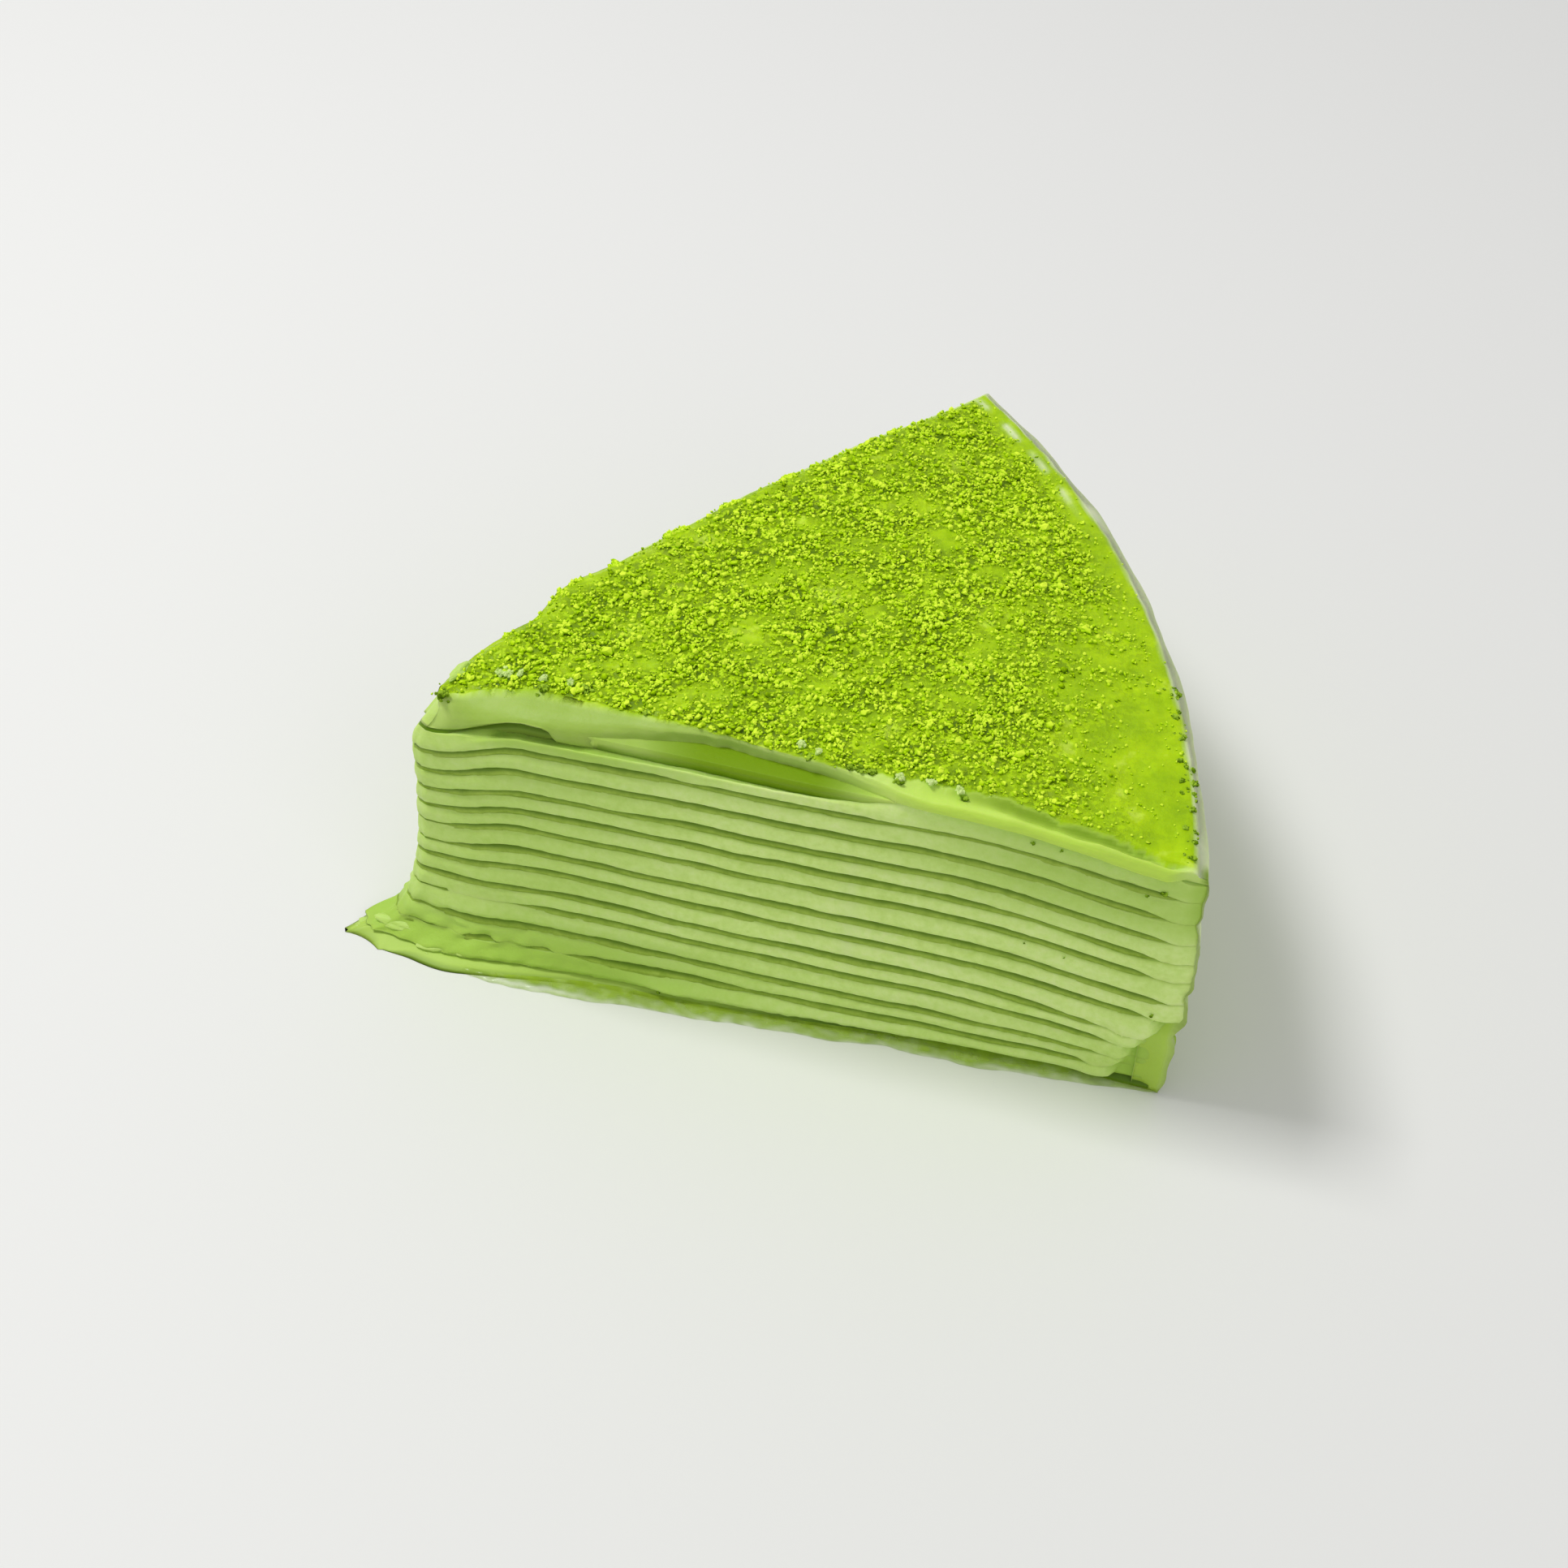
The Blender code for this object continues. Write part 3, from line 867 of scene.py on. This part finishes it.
def dusting(along, across):
    """How much powder lies on a place of the top: 0 none, 1 caked."""
    front = front_distance(along, across)
    back = back_distance(along, across)
    rim = SLICE_LENGTH - along
    wander = 0.3 * MM * uneven(along / (0.9 * MM), across * 7, 1.0)
    edge = powder_edge(along)
    inside = smooth(front + wander, edge - 0.15 * MM, edge + 0.3 * MM)
    inside *= rising(rim + wander, 0.4, 1.2)
    corner = rising(rim, 4, 24)
    corner = max(corner, rising(front, 16, 46) * rising(rim, 1, 8))
    at_back = rising(back, 0.5, 3.0)
    broad = uneven(along / (7 * MM), across * along / (7 * MM), 4.0)
    fine = uneven(along / (2.5 * MM), across * along / (2.5 * MM), 2.0)
    patches = 0.66 + 0.7 * broad + 0.4 * fine
    return inside * (0.3 + 0.7 * at_back) * (0.1 + 0.9 * corner) * clamp(patches)


def top_point(along, across):
    """The place of a point on top of the frosting."""
    point = settle(along, across, top_level(along, across), 0.0)
    point.z += powder_height(point)
    return point


def frosting_piece(low, material):
    """The cream over the top and down the rim in one piece, with its wet skin."""
    inner_length = SLICE_LENGTH - COAT_THICKNESS
    stations = [inner_length * step / TOP_STEPS for step in range(TOP_STEPS + 1)]
    for step in range(1, RIM_STEPS + 1):
        stations.append(inner_length + COAT_THICKNESS * step / RIM_STEPS)
    piece = plan_block("frosting_cover", stations, ACROSS_STEPS, TOP_ROWS)

    # The coat grows down from the strip of the underside beyond the crepes
    bpy.ops.object.select_all(action="DESELECT")
    piece.select_set(True)
    bpy.context.view_layer.objects.active = piece
    bpy.ops.object.mode_set(mode="EDIT")
    bpy.ops.mesh.select_mode(type="FACE")
    bpy.ops.mesh.select_all(action="DESELECT")
    bm = bmesh.from_edit_mesh(piece.data)
    for face in bm.faces:
        under = all(v.co.z < 0.01 for v in face.verts)
        face.select_set(under and all(v.co.x > inner_length - TINY for v in face.verts))
    bmesh.update_edit_mesh(piece.data)
    step_down = {"value": (0, 0, -1 / COAT_ROWS)}
    for _ in range(COAT_ROWS):
        bpy.ops.mesh.extrude_region_move(TRANSFORM_OT_translate=step_down)
    bpy.ops.mesh.select_all(action="SELECT")
    bpy.ops.mesh.normals_make_consistent(inside=False)
    bpy.ops.object.mode_set(mode="OBJECT")

    tones = []
    for vertex in piece.data.vertices:
        along, across, share = vertex.co
        # Closer together at the front edge, where the detail is
        part = (across + 1) / 2
        across = 2 * (0.45 * part + 0.55 * part * part) - 1
        outward = fall = 0.0
        if share > -0.001:
            up = max(0.0, share)
            depth = front_depth(along, up)
            if across < -AT_FACE:
                outward, fall = front_edge(along, up, low)
                depth, outward = max(0.0, depth - outward), max(0.0, outward - depth)
            across = pulled_in(along, across, depth)
        tones.append(frosting_tones(along, across, share))
        vertex.co = frosting_point(along, across, share, low, outward, fall)
    for name, values in zip(("dusted", "caked", "pale", "deep_wet_and_shade", "glossy"), zip(*tones)):
        set_attribute(piece, name, values)
    finish_piece(piece, material, "frosting", "frosting")


def frosting_tones(along, across, share):
    """Weights of the powder's skin, of caked powder, of pale bare cream, painted paler as
    lit down the coat, of deep wet cream, which also carries painted shade, and of gloss."""
    rim = SLICE_LENGTH - along
    front = front_distance(along, across)
    corner = 1 - smooth(across, -0.985, -0.95)
    if share > 0.99:
        ragged = 0.25 * MM * uneven(along / (0.8 * MM), across * 9, 1.0)
        edge = powder_edge(along)
        skin = smooth(front + ragged, edge - 0.35 * MM, edge + 0.05 * MM)
        streak = uneven(across * 9, rim / (1.0 * MM), 2.0)
        bare_rim = falling(rim + 0.5 * MM * streak, 0.3, 1.3)
        from_band = (rim - 2.6 * MM) / (0.45 * MM)
        second = math.exp(-(from_band**2)) * smooth(across, 0.3, 0.6)
        second *= smooth(uneven(across * 12, 1.0, 7.0), -0.2, 0.3)
        bare_rim = max(bare_rim, 0.8 * second)
        caked = 0.9 * dusting(along, across)
        fold = folded(along) * (1 - skin)
        even = between(POWDER_EDGE, along / MM) * MM
        # Painted shade in the valley behind the folded lip
        valley_shade = fold * smooth(front, 0.2 * even, 0.75 * even) * rising(along, 56, 68)
        return skin * (1 - bare_rim), caked, bare_rim * 0.9, 0.8 * valley_shade, fold * 0.8
    if along > SLICE_LENGTH - TINY:
        # The coat is bare cream, painted paler towards its top as lit, olive at its front
        # corner and darker at its foot
        olive = smooth(share, -0.3, 0.2) * corner
        foot = 1 - smooth(share, -0.98, -0.8)
        pale_and_painted_light = 0.15 + 0.45 * smooth(share, -0.55, -0.15)
        deep_wet_and_shade = max(0.85 * olive, 0.5 * foot, 0.45 * corner)
        return 0.0, 0.0, pale_and_painted_light * (1 - olive), deep_wet_and_shade, 0.0
    if share < 0 and across < -AT_FACE:
        return 0.0, 0.0, 0.0, 0.3, 0.9
    if front < 5 * MM and share > -0.001:
        lip = folded(along)
        # Painted shade: the cove and the lower part of the wall darker, with wet tea, and
        # the wall at the tip painted darker as shade
        under = 1 - smooth(share, 0.0, 0.7)
        at_tip = 0.5 * falling(along, 22, 56) * rising(along, 0, 3)
        return 0.0, 0.0, 0.0, max(coved(along) * under, at_tip + 0.08), lip
    return 0.0, 0.0, 0.0, 0.0, 0.0


def front_depth(along, share):
    """How far the frosting's front edge stands back from the cut."""
    cove = rising(along, 14, 38)
    part = (1 - cove) * between(SHOULDER, share) + cove * between(COVE, share)
    return wall_inset(along) * part


def front_edge(along, share, low):
    """(outward, fall) of the frosting's front edge, with its folded lip and with what
    reaches down over the uppermost crepe."""
    fold = folded(along)
    varied = 0.8 + 0.4 * uneven(along / (6 * MM), 0.0, 4.0)
    outward = fold * varied * between([p[:2] for p in FOLD], share) * MM
    outward += cut_roughness(along, -1.0, low + 3 * MM * share)
    fall = fold * varied * between([(p[0], p[2]) for p in FOLD], share)
    fall += 0.8 * (1 - share) * rising(along, 75, 82) * fold
    fall -= 0.5 * slotted(along) * (1 - smooth(share, 0.0, 0.4))
    return outward, fall * MM + over_crepe(along) * (1 - share) ** 3


def over_crepe(along):
    """How far the frosting's front edge reaches down over the uppermost crepe: not at
    all at the slot, and down to the cream in the cove."""
    closed = 1 - math.sqrt(clamp((SLOT_END - along) / (1.3 * MM)))
    return closed * (0.9 + 1.0 * lowered(along)) * falling(along, 50, 62) * MM


def frosting_point(along, across, share, low, outward, fall):
    """The place of a point of the frosting. share is 1 on its top, 0 on its underside
    and below 0 down the coat, to -1 at the coat's foot."""
    under = sagged(low - GAP, along)
    under += wave(along, across, under)
    top = top_level(along, across) - CRUMB_ROOM
    rise = top - under if share > 0 else under - TINY
    z = under + rise * share - fall
    on_top = share > 0.99
    on_rim = along > SLICE_LENGTH - TINY
    if across > AT_FACE and share >= 0:
        round_top = math.sqrt(max(0.0, 1 - smooth(share, 0.45, 1.0) ** 2))
        outward = CREAM_BULGE + (TOP_INSET + CREAM_BULGE) * (round_top - 1)
        outward += cut_roughness(along, across, z)
    if share < 0 and not on_rim:
        thin = 1 - smooth(along, SLICE_LENGTH - 2.6 * MM, SLICE_LENGTH)
        hidden = rising(z, 11, 14)
        outward = cut_roughness(along, across, z) - (0.7 * thin + 0.1 + 1.2 * hidden) * MM
    if on_rim:
        along += coat_outward(across, z) - (2 * TOP_INSET if on_top else 0.0)
    elif along < TINY:
        along += (TOP_INSET if on_top else 0.0) + 1.0 * MM * max(0.0, share) ** 2
    turn = (0.7 + 0.7 * across) * max(0.0, share) * max(0.0, 1 - along / (6 * MM))
    point = settle(along + NOSE_SLANT * turn, across, z, outward)
    if on_top:
        point.z += powder_height(point) + CRUMB_ROOM
    return point


def crumbs(name, places, sizes, tones, seed, material, slot):
    """Small crumbs joined into one mesh, each with its own shape, turn and tone, painted
    lighter towards its top and darker towards its base as light and shade.
    """
    draw = np.random.default_rng(seed)
    bpy.ops.object.select_all(action="DESELECT")
    bpy.ops.mesh.primitive_ico_sphere_add(subdivisions=1, radius=0.5)
    model = bpy.context.object
    corners = np.array([v.co for v in model.data.vertices])
    triangles = np.array([p.vertices for p in model.data.polygons])
    bpy.data.objects.remove(model)
    count = len(places)
    turns = draw.normal(size=(count, 4))
    turns /= np.linalg.norm(turns, axis=1)[:, None]
    w, x, y, z = turns.T
    rows = (
        (1 - 2 * (y * y + z * z), 2 * (x * y - z * w), 2 * (x * z + y * w)),
        (2 * (x * y + z * w), 1 - 2 * (x * x + z * z), 2 * (y * z - x * w)),
        (2 * (x * z - y * w), 2 * (y * z + x * w), 1 - 2 * (x * x + y * y)),
    )
    matrix = np.stack([np.stack(row, 1) for row in rows], 1)
    lumpy = 1 + 0.28 * draw.normal(size=(count, len(corners), 1)).clip(-1.4, 1.4)
    stretch = 1 + 0.25 * draw.normal(size=(count, 1, 3)).clip(-1.4, 1.4)
    shapes = corners[None] * lumpy * stretch * np.asarray(sizes)[:, None, None]
    shapes = np.einsum("nij,nkj->nki", matrix, shapes)
    # Painted light and shade: each crumb lighter towards its top
    lit = 0.9 * shapes[:, :, 2] / np.asarray(sizes)[:, None]
    shade = np.asarray(tones)[:, None] + lit
    shapes += np.asarray(places)[:, None, :]
    shapes[:, :, 2] = np.minimum(shapes[:, :, 2], HIGHEST)
    mesh = bpy.data.meshes.new(name)
    offsets = np.arange(count)[:, None, None] * len(corners)
    all_triangles = (triangles[None] + offsets).reshape(-1, 3)
    mesh.from_pydata(shapes.reshape(-1, 3).tolist(), [], all_triangles.tolist())
    tone_and_light = mesh.attributes.new("tone_and_light", "FLOAT", "POINT")
    tone_and_light.data.foreach_set("value", shade.ravel().clip(0, 1))
    piece = bpy.data.objects.new(name, mesh)
    bpy.context.scene.collection.objects.link(piece)
    finish_piece(piece, material, slot)
    mesh.shade_flat()


def scatter_powder(material):
    """Powder crumbs over the top, caked where it lies thick, sparse towards the corner
    of the rim."""
    draw = random.Random(7)
    kinds = (
        ("powder_fine", 11, 14000, 0.22, 0.42, 0.0, 2.2),
        ("powder_crumbs", 13, 17000, 0.36, 0.66, 0.1, 1.7),
        ("powder_lumps", 12, 2600, 0.6, 1.0, 0.35, 1.2),
    )
    for name, seed, tries, least, most, need, keep in kinds:
        places, sizes, tones = [], [], []
        for _ in range(tries):
            along = SLICE_LENGTH * math.sqrt(draw.random())
            across = draw.uniform(-1, 1)
            amount = dusting(along, across)
            ridge = uneven(along / (1.5 * MM), across * along / (2.2 * MM), 8.0)
            chance = keep * (amount - need) * (0.55 + 0.9 * ridge)
            if draw.random() > chance:
                continue
            size = (least + (most - least) * draw.random() ** 2) * MM
            point = top_point(along, across)
            point.z += size * 0.22 + 0.35 * MM * max(0.0, ridge) * amount
            point.z = min(point.z, HIGHEST - 0.7 * size)
            places.append(point)
            sizes.append(size)
            # Crumbs on the ridges, which stand higher, are painted lighter, as lit
            tones.append(clamp(0.5 + 0.24 * draw.gauss(0, 1) + 0.3 * ridge))
        crumbs(name, places, sizes, tones, seed, material, "powder")


def clumped(centres, seed):
    """Places, sizes and tones of the crumbs that make up clumps. A centre is a place
    and a size."""
    draw = random.Random(seed)
    places, sizes, tones = [], [], []
    for centre, size in centres:
        for _ in range(max(3, int(22 * size / MM))):
            shift = Vector([draw.gauss(0, 0.18) * size for _ in range(3)])
            shift.z *= 0.6
            crumb = draw.uniform(0.35, 0.6) * MM * min(1.0, size / (0.8 * MM))
            place = centre + shift
            place.z = min(place.z, HIGHEST - 0.7 * crumb)
            places.append(place)
            sizes.append(crumb)
            # Crumbs higher in a clump are painted lighter, as lit
            tones.append(clamp(0.45 + 0.3 * draw.gauss(0, 1) + 0.4 * shift.z / size))
    return places, sizes, tones


def on_front_edge(along, front):
    """A place on the top, this far past the powder's front edge."""
    front += between(POWDER_EDGE, along)
    return top_point(along * MM, front * MM / half_width(along * MM) - 1)


def scatter_clumps(powder, damp, cream):
    """Damp dark clumps and pale flecks along the front edge, clumps that hang over the
    back edge, specks on the cut."""
    edge = [(on_front_edge(a, front), size * MM) for a, front, size in EDGE_CLUMPS]
    crumbs("damp_clumps", *clumped(edge, 3), 3, damp, "powder")
    draw = random.Random(12)
    specks = []
    for along, height, size in CUT_SPECKS:
        specks.append((settle(along * MM, -1.0, height * MM, 0.35 * MM), 0.5 * size * MM))
    for along, short, size in SHOULDER_SPECKS:
        place = on_front_edge(along, -short)
        place.z -= 0.35 * short * MM
        specks.append((place, 0.5 * size * MM))
    for _ in range(52):
        rim = SLICE_LENGTH - draw.uniform(0.5, 2.2) * MM
        size = (0.25 + 0.55 * draw.random() ** 2) * MM
        specks.append((top_point(rim, draw.uniform(-0.97, -0.35)), size))
    crumbs("powder_specks", *clumped(specks, 4), 4, damp, "powder")
    back = []
    for _ in range(150):
        along = SLICE_LENGTH * draw.uniform(0.12, 0.95)
        heap = uneven(along / (4 * MM), 3.0, 3.0)
        if heap > -0.05:
            place = top_point(along, 1 - draw.uniform(0.0, 1.0) * MM / half_width(along))
            back.append((place, (0.5 + heap) * MM))
    crumbs("back_edge_clumps", *clumped(back, 5), 5, powder, "powder")
    flecks = [(on_front_edge(a, front), 1.2 * size * MM) for a, front, size in CREAM_FLECKS]
    for place, _ in flecks:
        place.z += 0.35 * MM
    crumbs("cream_flecks", *clumped(flecks, 6), 6, cream, "frosting")


def cream_scraps(material):
    """Scraps of cream that the knife left on the tip."""
    bpy.ops.object.select_all(action="DESELECT")
    for place, radii, turn in CREAM_SCRAPS:
        bpy.ops.mesh.primitive_ico_sphere_add(subdivisions=5, radius=1)
        scrap = bpy.context.object
        turned = Matrix.Rotation(math.radians(turn), 3, "Z")
        centre = Vector(place)
        for vertex in scrap.data.vertices:
            shape = vertex.co * (1 + 0.28 * noise.noise(vertex.co * 1.6 + centre))
            shape *= 1 + 0.06 * noise.noise(vertex.co * 6 + centre)
            point = (turned @ Vector([a * b for a, b in zip(shape, radii)]) + centre) * MM
            point.z = max(0.05 * MM, point.z)
            vertex.co = point
    scraps = [o for o in bpy.context.scene.objects if o.name.startswith("Icosphere")]
    for scrap in scraps:
        scrap.select_set(True)
    bpy.context.view_layer.objects.active = scraps[0]
    bpy.ops.object.join()
    piece = bpy.context.object
    piece.name = "cream_scraps"
    piece.data.name = "cream_scraps"
    set_attribute(piece, "soaked_and_shade", np.full(len(piece.data.vertices), 0.6))
    finish_piece(piece, material, "cream")


def foot_smear(material):
    """The wet film that the foot of the front cut stands in."""
    stations = []
    for step in range(SMEAR_STEPS + 1):
        stations.append((SMEAR_START + SMEAR_LENGTH * step / SMEAR_STEPS) * MM)
    piece = plan_block("wet_smear", stations, 16, 1)
    along_cut = Vector((math.cos(HALF_ANGLE), -math.sin(HALF_ANGLE), 0.0))
    out_of_cut = Vector((-math.sin(HALF_ANGLE), -math.cos(HALF_ANGLE), 0.0))
    corner = Vector((-ORIGIN_FROM_TIP, ORIGIN_TO_FRONT - NOSE_HALF_WIDTH, 0.0))
    thin = []
    for vertex in piece.data.vertices:
        along, across, share = vertex.co
        part = (across + 1) / 2
        ragged = 0.1 * uneven(along / (1.5 * MM), 0.0, 6.0)
        ragged += 0.5 * uneven(along / (6 * MM), 0.0, 2.0)
        reach = between(FILM_REACH, along / MM) + ragged
        ends = rising(along, -7, -5) * falling(along, 85, 91)
        width = SMEAR_WIDTH * (0.25 + 0.75 * ends)
        out = (reach - width * (1 - part)) * MM
        ripple = uneven(along / (1.6 * MM), out / (0.9 * MM), 4.0)
        ridge = math.exp(-(((part - 0.84) / 0.09) ** 2)) * falling(along, 14, 22)
        height = 0.22 * math.sqrt(max(0.0, 1 - part**3)) + (0.25 + 0.3 * ripple) * ridge
        height += 0.05 * ripple
        point = corner + along_cut * along + out_of_cut * out
        point.z = share * max(0.04, height) * MM
        thin.append(clamp(part - 0.1 + 0.3 * ripple + 0.35 * ridge))
        vertex.co = point
    set_attribute(piece, "thin", thin)
    finish_piece(piece, material, "wet_smear")


def build():
    crepe = griddled_crepe()
    cream = whipped_cream()
    dusted = dusted_frosting()
    powder = tea_powder("caked green tea powder", "#446800", "#b4e008", "#e6ff46")
    damp = tea_powder("damp tea clumps", "#3c5606", "#64880c", "#a4c83a")
    film = wet_smear_film()
    half = CREPE_THICKNESS / 2
    level = half
    crepe_layer(1, level, crepe)
    for number, step in enumerate(CREPE_STEPS, 1):
        above = level + step * MM
        cream_layer(number, level + half + GAP, above - half - GAP, cream)
        crepe_layer(number + 1, above, crepe)
        level = above
    frosting_piece(level + half + GAP, dusted)
    scatter_powder(powder)
    scatter_clumps(powder, damp, cream)
    cream_scraps(cream)
    foot_smear(film)


# Floor, light and camera


# Lamps: name, place and size in metres, power in watts
LAMPS = (
    ("key", (-0.32, 0.22, 0.75), 0.22, 3.8),
    ("fill", (0.25, -0.75, 0.55), 0.6, 0.9),
)
CAMERA_PLACE = (-34.1 * MM, -191.5 * MM, 217.0 * MM)
CAMERA_TURN, CAMERA_PITCH, CAMERA_ROLL = (math.radians(a) for a in (78.3, 45.81, 0.42))
FOCAL_PIXELS = 2700
PHOTO_PIXELS = 1932
SENSOR = 36.0


def floor_and_light():
    bpy.ops.object.select_all(action="DESELECT")
    bpy.ops.mesh.primitive_plane_add(size=6.0, location=(0.0, 0.0, -0.05 * MM))
    floor = bpy.context.object
    floor.name = "floor"
    matt = {"Base Color": "#ececea", "Roughness": 0.55, "Specular IOR Level": 0.2}
    floor.data.materials.append(surface(new_material("matt white board")[0], matt))

    world = bpy.data.worlds.new("soft room")
    bpy.context.scene.world = world
    world.use_nodes = True
    background = world.node_tree.nodes["Background"]
    background.inputs["Color"].default_value = (1.0, 1.0, 1.0, 1.0)
    background.inputs["Strength"].default_value = 0.46

    for name, place, size, power in LAMPS:
        data = bpy.data.lights.new(name, "AREA")
        data.energy = power
        data.size = size
        lamp = bpy.data.objects.new(name, data)
        lamp.location = place
        direction = Vector((0.0, 0.0, 0.02)) - Vector(place)
        lamp.rotation_euler = direction.to_track_quat("-Z", "Y").to_euler()
        bpy.context.scene.collection.objects.link(lamp)


def set_camera():
    """The camera stands where the photograph was taken from."""
    level = math.cos(CAMERA_PITCH)
    ahead = math.cos(CAMERA_TURN) * level, math.sin(CAMERA_TURN) * level
    forward = Vector((*ahead, -math.sin(CAMERA_PITCH)))
    right = forward.cross(Vector((0, 0, 1))).normalized()
    up = right.cross(forward)
    x_axis = right * math.cos(CAMERA_ROLL) + up * math.sin(CAMERA_ROLL)
    y_axis = up * math.cos(CAMERA_ROLL) - right * math.sin(CAMERA_ROLL)
    data = bpy.data.cameras.new("camera")
    data.sensor_width = SENSOR
    data.lens = SENSOR * FOCAL_PIXELS / PHOTO_PIXELS
    data.clip_start = 0.01
    camera = bpy.data.objects.new("camera", data)
    axes = Matrix((x_axis, y_axis, -forward)).transposed().to_4x4()
    camera.matrix_world = Matrix.Translation(CAMERA_PLACE) @ axes
    bpy.context.scene.collection.objects.link(camera)
    bpy.context.scene.camera = camera


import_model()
bpy.context.scene.view_settings.view_transform = "Standard"
build()
floor_and_light()
set_camera()
